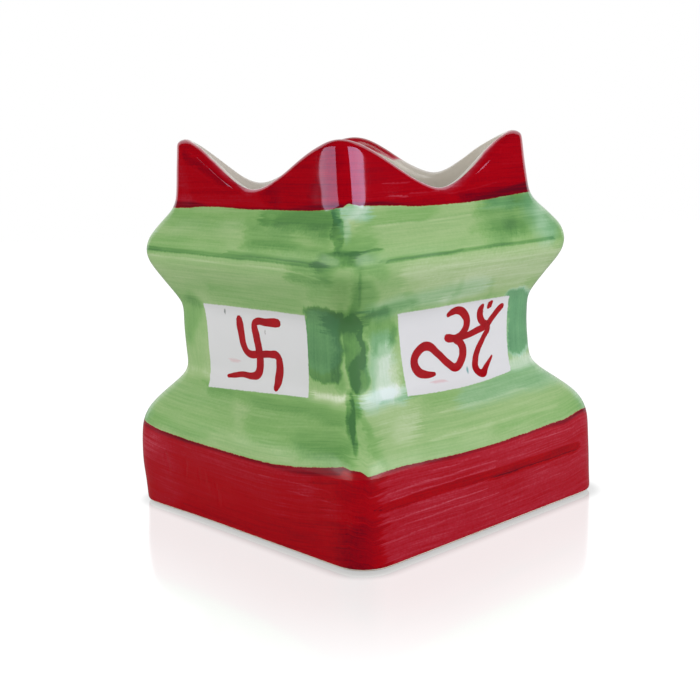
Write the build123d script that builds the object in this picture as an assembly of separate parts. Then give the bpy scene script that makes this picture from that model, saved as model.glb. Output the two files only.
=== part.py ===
from build123d import *
from math import exp, hypot, sqrt
import os

# A tulsi vrindavan planter: a square courtyard-altar pot, slip-cast in one piece of white clay and
# finished with coats of colour under glaze. From the floor up it has a plinth, a curved shoulder, a
# straight waist with one white panel to a face, a swelling cornice, and a crown that rises to a horn
# at each corner and dips to a valley over each face. It was shaped soft: the pot leans a little towards
# the horn between the left and the back face, its waist has moved a little the same way, and the four
# valleys were cut down by eye.
#
# Frame: +Z up, origin at the middle of the foot, on the surface that the planter stands on. The four
# faces look along -Y (front), +X (right), +Y (back) and -X (left). All sizes are in millimetres.

# Widths, each across two opposite faces
PLINTH_WIDTH = 118.2
WAIST_WIDTH = 90.0
CORNICE_WIDTH = 112.8  # where the cornice's two slopes would meet, before its nose is rounded
NECK_WIDTH = 91.2
CROWN_WIDTH = 87.8  # at the level of the horns' tips

# Heights of the mouldings, stacked from the floor up
PLINTH_HEIGHT = 33.5
SHOULDER_HEIGHT = 13.4
WAIST_HEIGHT = 24.1
SOFFIT_HEIGHT = 19.9
WEATHERING_HEIGHT = 14.2
CROWN_HEIGHT = 21.9

# Roundings of the moulded profile, seen square to a face
ARRIS_RADIUS = 15.0
SHOULDER_RADIUS = 8.0
SOFFIT_RADIUS = 7.0
NOSE_RADIUS = 11.0
NECK_RADIUS = 9.0

# Corner radii seen from above. They grow with the width of the pot at that level
WAIST_CORNER_RADIUS = 8.0
PLINTH_CORNER_RADIUS = 11.0
LEAST_CORNER_RADIUS = 2.0

# The scalloped rim over each face: how deep the valley is below the horns, and how far its lowest
# point lies from the middle of the face, to the right as one looks at the face
FRONT_VALLEY = 17.2
RIGHT_VALLEY = 14.6
BACK_VALLEY = 16.4
LEFT_VALLEY = 16.0
BACK_VALLEY_SHIFT = 4.7
VALLEY_EASE = 12.0  # length of the curve's handle at the valley's lowest point
HORN_EASE = 7.0  # length of its handle at the horn

# How far the soft pot moved towards -X and, by as much, towards +Y
LEAN = 2.5  # at the horns' tips, growing evenly from the foot
WAIST_DRIFT = 1.1  # at the middle of the waist, on top of the lean
DRIFT_REACH = 18.0  # how far above and below that it dies away

# The casting's wall, floor, foot and drain hole
WALL = 4.6
FLOOR = 6.5
FLOOR_FILLET = 5.0
FOOT_RIM = 9.0
FOOT_RECESS = 2.0
FOOT_ROUNDING = 1.8
DRAIN_DIAMETER = 12.0
LIP_ROUNDING = 1.9

# Coats of glaze
COAT = 0.5
DRY_FOOT = 1.2  # how far up from the floor the clay is wiped clean before firing
PLINTH_PAINT = 28.5
CROWN_PAINT = 104.0
PANEL_WIDTH = 52.0
PANEL_HEIGHT = 27.0
PANEL_CORNER = 2.0
PANEL_CENTRE = 58.0

# How finely the mouldings are followed, and how far cutting shapes run past what they cut
SECTION_SPACING = 4.5
OVERRUN = 10.0

plinth_top = PLINTH_HEIGHT
waist_base = plinth_top + SHOULDER_HEIGHT
waist_top = waist_base + WAIST_HEIGHT
nose_height = waist_top + SOFFIT_HEIGHT
neck_height = nose_height + WEATHERING_HEIGHT
overall_height = neck_height + CROWN_HEIGHT
waist_middle = (waist_base + waist_top) / 2
widest = max(PLINTH_WIDTH, CORNICE_WIDTH)
TOP = (Align.CENTER, Align.CENTER, Align.MAX)


def moulding(inset):
    """The profile of a face as (half width, height) corners with their radii, moved in by inset."""
    corners = [
        (PLINTH_WIDTH / 2, 0.0, 0.0),
        (PLINTH_WIDTH / 2, plinth_top, ARRIS_RADIUS),
        (WAIST_WIDTH / 2, waist_base, SHOULDER_RADIUS),
        (WAIST_WIDTH / 2, waist_top, SOFFIT_RADIUS),
        (CORNICE_WIDTH / 2, nose_height, NOSE_RADIUS),
        (NECK_WIDTH / 2, neck_height, NECK_RADIUS),
        (CROWN_WIDTH / 2, overall_height, 0.0),
    ]
    headings = []
    for (x0, z0, _), (x1, z1, _) in zip(corners, corners[1:]):
        length = hypot(x1 - x0, z1 - z0)
        headings.append(((x1 - x0) / length, (z1 - z0) / length))
    headings = [headings[0]] + headings + [headings[-1]]
    points, roundings = [], []
    for (x, z, radius), before, after in zip(corners, headings, headings[1:]):
        share = inset / (1 + before[0] * after[0] + before[1] * after[1])
        points.append((x - share * (before[1] + after[1]), z + share * (before[0] + after[0])))
        bulges_out = before[0] * after[1] - before[1] * after[0] > 0
        roundings.append(radius - inset if bulges_out else radius + inset)
    return points, roundings[1:-1]


def profile(inset):
    """The moulded profile as one wire in the XZ plane, run on upwards past the horns."""
    points, roundings = moulding(inset)
    (x0, z0), (x1, z1) = points[-2:]
    overshoot = (z1 - z0 + OVERRUN) / (z1 - z0)
    points[-1] = (x0 + (x1 - x0) * overshoot, z0 + (z1 - z0) * overshoot)
    return FilletPolyline(*[(x, 0, z) for x, z in points], radius=roundings)


def corner_radius(half_width, inset):
    """Corner radius in plan of the outside, at the level where the pot is this wide."""
    growth = (PLINTH_CORNER_RADIUS - WAIST_CORNER_RADIUS) / (PLINTH_WIDTH / 2 - WAIST_WIDTH / 2)
    outside = WAIST_CORNER_RADIUS + growth * (half_width + inset - WAIST_WIDTH / 2)
    return max(outside - inset, LEAST_CORNER_RADIUS)


def drift(height):
    """How far the middle of the pot at this level lies from the middle of the foot."""
    sideways = LEAN * height / overall_height
    sideways += WAIST_DRIFT * exp(-(((height - waist_middle) / DRIFT_REACH) ** 2))
    return Pos(-sideways, sideways, 0)


def envelope(inset):
    """The pot's outer form as a solid block, moved in by inset and open upwards past the horns."""
    outline = profile(inset)
    count = round(outline.length / SECTION_SPACING)
    sections = []
    for i in range(count + 1):
        point = outline @ (i / count)
        rounded = RectangleRounded(2 * point.X, 2 * point.X, corner_radius(point.X, inset))
        sections.append(drift(point.Z) * Plane.XY.offset(point.Z) * rounded)
    return loft(sections)


def valley_cutter(turn, depth, shift):
    """What stands above the rim of one face, from the middle of the pot out. The front face's turn is 0."""
    # From this distance on the horn stays level, all round the pot's rounded corner
    horn = CROWN_WIDTH / 2 - WAIST_CORNER_RADIUS + (WAIST_CORNER_RADIUS - WALL) * sqrt(0.5)
    low = overall_height - depth
    left_flank = Bezier(
        (-horn, 0, overall_height),
        (HORN_EASE - horn, 0, overall_height),
        (shift - VALLEY_EASE, 0, low),
        (shift, 0, low),
    )
    right_flank = Bezier(
        (shift, 0, low),
        (shift + VALLEY_EASE, 0, low),
        (horn - HORN_EASE, 0, overall_height),
        (horn, 0, overall_height),
    )
    top = overall_height + 2 * OVERRUN
    above = Polyline(
        (horn, 0, overall_height),
        (widest, 0, overall_height),
        (widest, 0, top),
        (-widest, 0, top),
        (-widest, 0, overall_height),
        (-horn, 0, overall_height),
    )
    return Rot(0, 0, turn) * extrude(make_face(left_flank + right_flank + above), widest, dir=(0, -1, 0))


def rim_cutter(drop):
    """What stands above the scalloped rim, on all four faces, with the rim lowered by drop."""
    valleys = [
        valley_cutter(0, FRONT_VALLEY, 0),
        valley_cutter(90, RIGHT_VALLEY, 0),
        valley_cutter(180, BACK_VALLEY, BACK_VALLEY_SHIFT),
        valley_cutter(270, LEFT_VALLEY, 0),
    ]
    return drift(overall_height) * Pos(0, 0, -drop) * (valleys[0] + valleys[1:])


def lip_edges(pot):
    """The two loops of edges along the lip, where the rim's cut meets the moulded walls."""
    moulded = pot.faces().filter_by(GeomType.BSPLINE)
    others = pot.faces().filter_by(GeomType.BSPLINE, reverse=True)
    foot_of_rim = overall_height - max(FRONT_VALLEY, RIGHT_VALLEY, BACK_VALLEY, LEFT_VALLEY) - WALL
    wall_edges = moulded.edges()
    return [edge for edge in others.edges() if edge in wall_edges and edge.bounding_box().min.Z > foot_of_rim]


def vessel(inset):
    """The pot with its cavity, rim, foot and drain hole, every glazed surface moved in by inset."""
    below_floor = Pos(0, 0, FLOOR - inset) * Box(2 * widest, 2 * widest, 2 * widest, align=TOP)
    cavity = envelope(WALL - inset) - below_floor
    cavity = fillet(cavity.edges().group_by(Axis.Z)[0], FLOOR_FILLET + inset)
    pot = envelope(inset)
    pot = fillet(pot.edges().group_by(Axis.Z)[0], FOOT_ROUNDING)
    pot = pot - cavity - rim_cutter(inset)
    pot = fillet(lip_edges(pot), LIP_ROUNDING - inset)
    recess_width = PLINTH_WIDTH - 2 * FOOT_RIM
    recess_corner = max(PLINTH_CORNER_RADIUS - FOOT_RIM, LEAST_CORNER_RADIUS)
    recess = extrude(RectangleRounded(recess_width, recess_width, recess_corner), FOOT_RECESS)
    drain = Cylinder(DRAIN_DIAMETER / 2, 2 * FLOOR)
    return pot - recess - drain


def slab(low, high):
    """Everything between two levels."""
    return Pos(0, 0, (low + high) / 2) * Box(2 * widest, 2 * widest, high - low)


def window(turn):
    """What shows of the waist inside the border of one face's panel. The front face's turn is 0."""
    opening = extrude(Plane.XZ * RectangleRounded(PANEL_WIDTH, PANEL_HEIGHT, PANEL_CORNER), widest)
    return drift(PANEL_CENTRE) * Rot(0, 0, turn) * Pos(0, 0, PANEL_CENTRE) * opening


clay = vessel(COAT)
glaze = vessel(0) - clay
half_way = envelope(WALL / 2)
outside = glaze - half_way
above_recess = slab(FOOT_RECESS, overall_height + OVERRUN)
body_band = outside & slab(PLINTH_PAINT, CROWN_PAINT)
windows = {"panel_front": window(0), "panel_right": window(90), "panel_back": window(180), "panel_left": window(270)}

nodes = {
    "clay_body": clay,
    "plinth_glaze": outside & slab(DRY_FOOT, PLINTH_PAINT),
    "body_glaze": body_band - list(windows.values()),
    "crown_glaze": outside & slab(CROWN_PAINT, overall_height + OVERRUN),
    "liner_glaze": glaze & half_way & above_recess,
}
for name, opening in windows.items():
    nodes[name] = body_band & opening

os.makedirs("parts", exist_ok=True)
for name, shape in nodes.items():
    export_step(shape, f"parts/{name}.step")
    print(f"{name}: {len(shape.solids())} solid(s), {shape.volume:.0f} mm3")
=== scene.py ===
# %% [markdown]
# A tulsi vrindavan planter is a small altar for a basil plant: a square pot with a heavy plinth, a
# narrow waist, a swelling cornice and a crown with a horn at each corner. This one was cast in one
# piece of white clay, painted by hand in red and green, and fired under a clear, glassy glaze.
# Its packed CAD model is the fixed frame here. Everything below stands in that frame, in metres.

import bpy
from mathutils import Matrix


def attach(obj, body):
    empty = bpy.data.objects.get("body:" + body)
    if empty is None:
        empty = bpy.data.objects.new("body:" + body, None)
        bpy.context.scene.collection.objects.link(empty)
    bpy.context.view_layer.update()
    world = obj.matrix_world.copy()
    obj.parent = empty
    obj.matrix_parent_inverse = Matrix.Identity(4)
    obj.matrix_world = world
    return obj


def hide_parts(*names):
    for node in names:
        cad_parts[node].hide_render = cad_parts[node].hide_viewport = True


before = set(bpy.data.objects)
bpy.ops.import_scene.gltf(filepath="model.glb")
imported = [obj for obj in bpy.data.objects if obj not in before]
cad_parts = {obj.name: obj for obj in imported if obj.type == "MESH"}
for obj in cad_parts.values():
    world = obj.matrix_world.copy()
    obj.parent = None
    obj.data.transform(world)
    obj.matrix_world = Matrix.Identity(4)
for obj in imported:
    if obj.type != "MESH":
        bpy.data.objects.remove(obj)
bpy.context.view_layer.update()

# %% [markdown]
# The camera comes first, because every judgement below is made through it. It looks down a little
# on the corner between the front and the left face, and the hand that held it tilted it slightly.

# %% The camera
from math import ceil, cos, hypot, pi, radians, sin, tan
from types import SimpleNamespace

import bmesh
import bpy
import numpy as np
from mathutils import Matrix, Vector

MM = 0.001
CAMERA_PLACE = Vector((-278.7, -295.7, 128.8)) * MM
CAMERA_LENS = 60.11
CAMERA_HEADING = radians(-42.57)  # turned from looking along +Y, negative towards +X
CAMERA_DIP = radians(10.64)
CAMERA_ROLL = radians(-1.91)

camera = bpy.data.objects.new("camera", bpy.data.cameras.new("camera"))
camera.data.lens = CAMERA_LENS
turned = Matrix.Rotation(CAMERA_HEADING, 4, "Z") @ Matrix.Rotation(pi / 2 - CAMERA_DIP, 4, "X")
camera.matrix_world = Matrix.Translation(CAMERA_PLACE) @ turned @ Matrix.Rotation(CAMERA_ROLL, 4, "Z")
bpy.context.scene.collection.objects.link(camera)
bpy.context.scene.camera = camera
print("camera stands", round(CAMERA_PLACE.length / MM), "mm from the foot of the pot")

# %% [markdown]
# The pot is one skin, so it is modelled as a potter's eye follows it: up the outside, over the lip,
# down the inside, across the floor, and out through the drain hole to the underside. A square with
# rounded corners is extruded ring after ring, and each ring is raised and scaled to the width that
# the moulding has there. Scaling keeps the corners in proportion, so the plinth's are rounder than
# the waist's, as on the real pot. The widths come from a short list of moulding corners.

# %% The corners of the mouldings
PLINTH = 59.1  # half widths of the pot at each moulding, in mm
WAIST = 45.0
NOSE = 56.4
NECK = 45.6
CROWN = 43.9
PLINTH_TOP = 33.5  # heights of the mouldings, in mm
SHOULDER_TOP = 46.9
WAIST_TOP = 71.0
NOSE_HEIGHT = 90.9
NECK_HEIGHT = 105.1
HORN_HEIGHT = 127.0
WALL = 4.6

mouldings = [  # (half width, height, radius of the rounding)
    (PLINTH, 0.0, 0.0),
    (PLINTH, PLINTH_TOP, 15.0),
    (WAIST, SHOULDER_TOP, 8.0),
    (WAIST, WAIST_TOP, 7.0),
    (NOSE, NOSE_HEIGHT, 11.0),
    (NECK, NECK_HEIGHT, 9.0),
    (CROWN, HORN_HEIGHT, 0.0),
]
print(len(mouldings), "moulding corners, up to", HORN_HEIGHT, "mm")

# %% [markdown]
# Wet clay and glaze leave no sharp edge, so each corner becomes an arc that touches the two lines that
# meet there. The inside of the wall follows the same corners, moved in by the wall's thickness. An arc
# that bulges out gets a smaller radius on the inside, and a hollow one a larger, so the wall stays even.

# %% From corners to rounded lines


def rounded_line(corners, steps=12):
    """The points of a line of (x, z, radius) corners, with an arc in steps at each rounded one."""
    points = [corners[0][:2]]
    for before, corner, after in zip(corners, corners[1:], corners[2:]):
        here = Vector(corner[:2])
        back = (Vector(before[:2]) - here).normalized()
        on = (Vector(after[:2]) - here).normalized()
        half_turn = (pi - back.angle(on)) / 2
        middle = here + (back + on).normalized() * corner[2] / cos(half_turn)
        first = here + back * corner[2] * tan(half_turn) - middle
        last = here + on * corner[2] * tan(half_turn) - middle
        for i in range(steps + 1):
            part = i / steps
            swept = first.lerp(last, part).normalized() * corner[2] if corner[2] else first
            points.append(tuple(middle + swept))
    points.append(corners[-1][:2])
    return np.array(points)


def moved_in(corners, depth):
    """The same mouldings for a surface that lies this deep inside the wall."""
    result = []
    for i, (x, z, radius) in enumerate(corners):
        before = Vector(corners[max(i - 1, 0)][:2])
        after = Vector(corners[min(i + 1, len(corners) - 1)][:2])
        here = Vector((x, z))
        coming = (here - before).normalized() if i else (after - here).normalized()
        going = (after - here).normalized() if i < len(corners) - 1 else coming
        share = depth / (1 + coming.dot(going))
        hollow = coming.x * going.y - coming.y * going.x < 0
        grown = max(radius + (depth if hollow else -depth), 0.0)
        result.append((x - share * (coming.y + going.y), z + share * (coming.x + going.x), grown))
    return result


outside_line = rounded_line(mouldings)
inside_line = rounded_line(moved_in(mouldings, WALL))
print("waist of", 2 * WAIST, "mm inside a wall of", WALL, "mm")

# %% [markdown]
# Where one colour stops and the next begins, the skin needs a ring of edges, because each coat of
# colour becomes a piece of its own. So the rings between two borders are spaced evenly.

# %% The rings of the walls
PLINTH_BORDER = 28.5  # heights of the painted borders, in mm
PANEL_LOW = 44.5
PANEL_HIGH = 71.5
CROWN_BORDER = 104.0
OUTSIDE_SPACING = 3.2  # between two rings, at most
INSIDE_SPACING = 4.0
FOOT_ROUNDING = 1.6
LIP_ROUNDING = 2.2
FLOOR_TOP = 6.5
FLOOR_ROUNDING = 6.0


def climb(line, stations, spacing):
    """Rings (half width, height) up or down a moulded line, with one ring on each station."""
    order = np.argsort(line[:, 1])
    heights = [stations[0]]
    for low, high in zip(stations, stations[1:]):
        count = ceil(abs(high - low) / spacing)
        heights += [low + (high - low) * (i + 1) / count for i in range(count)]
    return [(float(np.interp(z, line[order, 1], line[order, 0])), z) for z in heights]


lip_base = HORN_HEIGHT - LIP_ROUNDING
outside_stations = [FOOT_ROUNDING, PLINTH_BORDER, PANEL_LOW, PANEL_HIGH, CROWN_BORDER, lip_base]
outside = climb(outside_line, outside_stations, OUTSIDE_SPACING)
inside = climb(inside_line, [lip_base, CROWN_BORDER, FLOOR_TOP + FLOOR_ROUNDING], INSIDE_SPACING)
print(len(outside), "rings outside and", len(inside), "inside")

# %% [markdown]
# The lip is a half round of two quarter turns, and the foot and the floor's edge are quarter turns as
# well. The ends of a quarter turn are rings that the walls already have, so they are left out.

# %% The rings of the lip, the floor and the foot
FLOOR_RINGS = (36.0, 24.0, 14.0)  # half widths of the rings across the floor and the underside


def arc(middle, radius, start, end, count=4):
    """Rings round a quarter turn, with angles in degrees from +X and both ends left out."""
    angles = [radians(start + (end - start) * i / count) for i in range(1, count)]
    return [(middle[0] + radius * cos(a), middle[1] + radius * sin(a)) for a in angles]


lip_outer = outside[-1][0]
lip_inner = inside[0][0]
lip = arc((lip_outer - LIP_ROUNDING, lip_base), LIP_ROUNDING, 0, 90)
lip += [(lip_outer - LIP_ROUNDING, HORN_HEIGHT), (lip_inner + LIP_ROUNDING, HORN_HEIGHT)]
lip += arc((lip_inner + LIP_ROUNDING, lip_base), LIP_ROUNDING, 90, 180)
floor_edge = inside[-1][0] - FLOOR_ROUNDING
floor = arc((floor_edge, FLOOR_TOP + FLOOR_ROUNDING), FLOOR_ROUNDING, 0, -90, 5)
floor += [(width, FLOOR_TOP) for width in (floor_edge, *FLOOR_RINGS)]
foot = arc((PLINTH - FOOT_ROUNDING, FOOT_ROUNDING), FOOT_ROUNDING, -90, 0)
foot_start = (PLINTH - FOOT_ROUNDING, 0.0)
upper_rings = foot + outside + lip + inside[1:] + floor
print(len(upper_rings), "rings from the foot to the floor")

# %% [markdown]
# The pot stands on a rim, so that water can run off below it. Inside the rim the underside is hollowed,
# and a drain hole leads through the floor. Its edges are a little rounded, as a wet sponge leaves them.

# %% The rings of the underside and the drain hole
HOLE_RADIUS = 6.0
RECESS = 2.0  # how far the underside is hollowed inside its foot rim
FOOT_RIM = 8.5

hole = [
    (HOLE_RADIUS + 1.0, FLOOR_TOP),
    (HOLE_RADIUS + 0.3, FLOOR_TOP - 0.3),
    (HOLE_RADIUS, FLOOR_TOP - 1.0),
]
recess_edge = PLINTH - FOOT_RIM
underside = [
    (PLINTH - 4.0, 0.0),
    (recess_edge + 1.0, 0.0),
    (recess_edge, 0.4),
    (recess_edge - 0.4, RECESS - 0.4),
    (recess_edge - 1.4, RECESS),
]
underside += [(width, RECESS) for width in FLOOR_RINGS]
underside_hole = [
    (HOLE_RADIUS + 0.8, RECESS),
    (HOLE_RADIUS + 0.2, RECESS + 0.2),
    (HOLE_RADIUS, RECESS + 0.8),
]
print(len(hole) + len(underside) + len(underside_hole), "rings below and in the hole")

# %% [markdown]
# An operator of edit mode acts on all that is selected, so a script selects by place instead of by
# mouse: every edge is asked for its two ends, and a small test says whether it belongs to the ring.

# %% Selecting by place
SAME_HEIGHT = 0.01  # two heights closer than this are one, in mm


def deselect_all():
    """Leaves edit mode with nothing selected, since an operator acts on all that is."""
    if bpy.context.object and bpy.context.object.mode == "EDIT":
        bpy.ops.object.mode_set(mode="OBJECT")
    bpy.ops.object.select_all(action="DESELECT")


def clear_selection(piece):
    """Takes the piece to object mode with none of its vertices, edges and faces selected."""
    bpy.ops.object.mode_set(mode="OBJECT")
    for part in (piece.data.vertices, piece.data.edges, piece.data.polygons):
        part.foreach_set("select", [False] * len(part))


def select_edges(piece, chosen):
    """Selects in edit mode the edges of the piece for which chosen(start, end) is true."""
    clear_selection(piece)
    points = [v.co for v in piece.data.vertices]
    for edge in piece.data.edges:
        start, end = (points[i] / MM for i in edge.vertices)
        edge.select = bool(chosen(start, end))
        if edge.select:
            for i in edge.vertices:
                piece.data.vertices[i].select = True
    bpy.ops.object.mode_set(mode="EDIT")


deselect_all()
print("selected at the start:", len(bpy.context.selected_objects), "objects")

# %% [markdown]
# `extrude_edges_move` copies the selected ring and joins the copy with faces, `transform.translate`
# lifts it, and `transform.resize` takes it to its width. Near the drain hole the square has to
# become round, and `transform.tosphere` does exactly that to a flat ring. The floor and the underside
# both end in such a round ring, and a bridge between the two makes the wall of the hole.

# %% The skin of the pot
CORNER_SHARE = 8.0 / WAIST  # corner radius as a share of the half width
CORNER_STEPS = 6
SIDE_CUTS = 13


def extrude_rings(rings, start, rounded=False):
    """Extrudes the selected ring through each (half width, height), from the ring at start."""
    width, height = start
    for new_width, new_height in rings:
        bpy.ops.mesh.extrude_edges_move()
        bpy.ops.transform.translate(value=(0, 0, (new_height - height) * MM))
        share = new_width / width
        bpy.ops.transform.resize(value=(share, share, 1), center_override=(0, 0, new_height * MM))
        if rounded:
            bpy.ops.transform.tosphere(value=1)
            skin = bmesh.from_edit_mesh(bpy.context.object.data)
            radius = next(v.co.xy.length for v in skin.verts if v.select) / MM
            bpy.ops.transform.resize(value=(new_width / radius, new_width / radius, 1))
            rounded = False
        width, height = new_width, new_height


deselect_all()
bpy.ops.mesh.primitive_plane_add(size=2 * foot_start[0] * MM, location=(0, 0, 0))
pot = bpy.context.object
pot.name = "pot"
bpy.ops.object.mode_set(mode="EDIT")
bpy.ops.mesh.select_all(action="SELECT")
bpy.ops.mesh.bevel(offset=foot_start[0] * CORNER_SHARE * MM, segments=CORNER_STEPS, affect="VERTICES")
bpy.ops.mesh.delete(type="ONLY_FACE")
select_edges(pot, lambda start, end: (start - end).length > foot_start[0])
bpy.ops.mesh.subdivide(number_cuts=SIDE_CUTS)
bpy.ops.mesh.select_all(action="SELECT")
extrude_rings(upper_rings, foot_start)
extrude_rings(hole, upper_rings[-1], rounded=True)
select_edges(pot, lambda start, end: max(start.z, end.z) < SAME_HEIGHT)
extrude_rings(underside, foot_start)
extrude_rings(underside_hole, underside[-1], rounded=True)
ends = (hole[-1][1], underside_hole[-1][1])
select_edges(
    pot,
    lambda start, end: abs(start.z - end.z) < SAME_HEIGHT
    and min(abs(start.z - height) for height in ends) < SAME_HEIGHT
    and start.xy.length < HOLE_RADIUS + 1,
)
bpy.ops.mesh.bridge_edge_loops()
bpy.ops.mesh.select_all(action="SELECT")
bpy.ops.mesh.normals_make_consistent(inside=False)
bpy.ops.object.mode_set(mode="OBJECT")
print(len(pot.data.vertices), "vertices,", [round(v) for v in pot.dimensions / MM], "mm")

# %% [markdown]
# Pushing vertices about by a rule is quicker with all of them at once. So their places are read into
# rows of numbers, changed there, and written back.

# %% Vertices as rows of numbers


def smooth_step(share):
    """Eases from 0 to 1 with no jump in slope at either end."""
    share = np.clip(share, 0.0, 1.0)
    return share * share * (3 - 2 * share)


def places(piece):
    """The vertices of the piece, in mm, one row each."""
    points = np.zeros(3 * len(piece.data.vertices), np.float32)
    piece.data.vertices.foreach_get("co", points)
    return points.reshape(-1, 3).astype(float) / MM


def put_back(piece, points):
    """Writes rows in mm back to the vertices of the piece."""
    piece.data.vertices.foreach_set("co", (points * MM).astype(np.float32).ravel())
    piece.data.update()


print("the rows of the pot:", places(pot).shape)

# %% [markdown]
# The crown is still level. On the real pot the clay was cut down in a soft valley over each face
# and left standing as a horn at each corner, by eye, so no two valleys are alike. A vertex of the
# crown sinks by its share of the valley's depth: all of it at the lip, and none at the painted
# border below. The share also fades from the middle of a face to the corner as a smooth step, so
# that no horn has a crease. As the wall leans in a little, a vertex that sinks takes the width that
# the mouldings have at its new height.

# %% The valleys and the horns
VALLEYS = {  # depth below the horns, and how far the lowest point lies off the middle, in mm
    "left": (16.0, -0.8),
    "front": (17.2, -0.8),
    "right": (14.6, 1.0),
    "back": (16.4, -4.7),
}
VALLEY_POWER = 0.92  # under 1 makes a valley narrower
HORNS = {(-1, 1): 0.6, (1, -1): 0.1, (-1, -1): -0.6, (1, 1): -0.9}  # how much higher each stands, in mm
HORN_REACH = 1.1  # how far a horn's rise spreads, in half widths
COLUMNS = 4 * (SIDE_CUTS + 1 + CORNER_STEPS)


def half_width_at(height):
    """The pot's half width outside, at this height of the mouldings."""
    return np.interp(height, outside_line[:, 1], outside_line[:, 0])


points = places(pot)
x, y, z = points.T
width = np.maximum(np.abs(x), np.abs(y))
on_side = np.abs(x) >= np.abs(y)  # on the left or right face, and otherwise on the front or back face
along = np.where(on_side, y, x) / width
faces = [on_side & (x < 0), on_side, y < 0]
valleys = [VALLEYS[face] for face in ("left", "right", "front")]
depth, offset = (np.select(faces, [v[i] for v in valleys], VALLEYS["back"][i]) for i in (0, 1))
from_middle = np.abs(along - offset / CROWN * (1 - along**2))
sunk = np.clip((z - CROWN_BORDER) / (lip_base - CROWN_BORDER), 0.0, 1.0)
lowered = z - sunk * depth * (1 - smooth_step(from_middle**VALLEY_POWER))
for (sign_x, sign_y), rise in HORNS.items():
    distance = np.hypot(x / width - sign_x, y / width - sign_y)
    lowered += sunk * rise * smooth_step(1 - distance / HORN_REACH)
leaning = half_width_at(lowered) / half_width_at(z)
points[:, :2] *= np.where(sunk > 0, leaning, 1.0)[:, None]
points[:, 2] = lowered
put_back(pot, points)
at_lip = np.arange(len(points)) // COLUMNS == len(foot + outside)
print("the rim falls to", round(lowered[at_lip].min(), 1), "mm")

# %% [markdown]
# Every ring has its number, so the coats of colour can be marked out on the skin before anything
# else bends it. Each face gets the number of its coat as an attribute, which a subdivision carries
# on to the smaller faces.

# %% The coats, marked by ring and column
COATS = ["clay_body", "plinth_glaze", "body_glaze", "crown_glaze", "liner_glaze"]
PANELS = ["panel_left", "panel_front", "panel_right", "panel_back"]
COATS += PANELS
PANEL_HALF = 26.3  # half the width of a panel, in mm

levels = [foot_start] + upper_rings + hole + underside + underside_hole


def ring_at(height):
    """The number of the first ring at this height, counted up the outside."""
    return next(i for i, (_, z) in enumerate(levels) if i > len(foot) and abs(z - height) < SAME_HEIGHT)


first_glazed = len(foot)
lip_top = ring_at(HORN_HEIGHT)
floor_end = len(foot + outside + lip + inside[1:] + floor) + 1
borders = [first_glazed, ring_at(PLINTH_BORDER), ring_at(CROWN_BORDER), lip_top, floor_end]
coat = pot.data.attributes.new("coat", "INT", "FACE")
for face in pot.data.polygons:
    ring = max(face.vertices) // COLUMNS  # the ring on the face's far side
    band = next((i for i, border in enumerate(borders) if ring <= border), len(borders)) % len(borders)
    middle = face.center / MM
    if ring_at(PANEL_LOW) < ring <= ring_at(PANEL_HIGH) and min(abs(middle.x), abs(middle.y)) < PANEL_HALF:
        if abs(middle.x) > abs(middle.y):
            band = COATS.index("panel_left" if middle.x < 0 else "panel_right")
        else:
            band = COATS.index("panel_front" if middle.y < 0 else "panel_back")
    coat.data[face.index].value = band
for number, name in enumerate(COATS):
    print(name, sum(1 for item in coat.data if item.value == number), "faces of the cage")

# %% [markdown]
# The painter's red runs out somewhere on the curve of the lip. So a second attribute holds how far a
# point lies over the lip, measured along the skin from the top of the lip.

# %% How far over the lip
over_lip = pot.data.attributes.new("over_lip", "FLOAT", "POINT")
steps = [hypot(w1 - w0, z1 - z0) for (w0, z0), (w1, z1) in zip(levels, levels[1:])]
ways = np.concatenate([[0.0], np.cumsum(steps)])
ways -= ways[lip_top]
ring_of_each = np.arange(len(pot.data.vertices)) // COLUMNS
over_lip.data.foreach_set("value", ways[ring_of_each].astype(np.float32))
print("from the lip down to the foot:", round(-ways[0]), "mm along the skin")

# %% [markdown]
# No slip casting leaves its mould perfectly straight. While the clay is soft, the pot leans, turns and
# sags a little, and fingers press it. So the cage gets a lean towards one horn, a slight twist, a
# waist that is shifted sideways, and a few soft pushes, each with its own reach. The foot stays flat,
# because the pot was set down on it while it was soft. Each point first notes its place in the mould
# as an attribute, so that the paint can be laid out on the straight pot and leans along with it.

# %% The hand of the potter
LEAN = np.array([-2.5, 2.5])  # how far the top stands out of line, in mm
TWIST = radians(-0.6)  # from the foot to the horns
WAIST_SHIFT = np.array([-1.1, 1.1])
WAIST_MIDDLE = 58.95
WAIST_REACH = 18  # how far above and below the middle the shift dies away
PUSHES = [  # (place, reach, shift), all in mm
    ((-59, 59, 8), 46, (-1.3, 1.3, 0)),
    ((-59, 59, 3), 14, (0.6, -0.6, 0)),
    ((-55, 55, 38), 20, (0.7, -0.7, 0)),
]


def bend(points):
    """Leans, turns and pushes points of the straight pot, in mm, as the soft clay was."""
    height = points[:, 2] / HORN_HEIGHT
    turn = TWIST * (height - 0.5)
    x, y = points[:, 0], points[:, 1]
    turned = [x * np.cos(turn) - y * np.sin(turn), x * np.sin(turn) + y * np.cos(turn), points[:, 2]]
    points = np.stack(turned, axis=1)
    in_waist = np.exp(-(((points[:, 2] - WAIST_MIDDLE) / WAIST_REACH) ** 2))
    points[:, :2] += height[:, None] * LEAN + in_waist[:, None] * WAIST_SHIFT
    for place, reach, shift in PUSHES:
        near = smooth_step(1 - np.linalg.norm(points - np.array(place), axis=1) / reach)
        points += near[:, None] * np.array(shift, float)
    return points


points = places(pot)
in_mould = pot.data.attributes.new("in_mould", "FLOAT_VECTOR", "POINT")
in_mould.data.foreach_set("vector", points.astype(np.float32).ravel())
put_back(pot, bend(points))
print("leans by", round(float(np.hypot(*LEAN)), 1), "mm at the horns")

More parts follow.
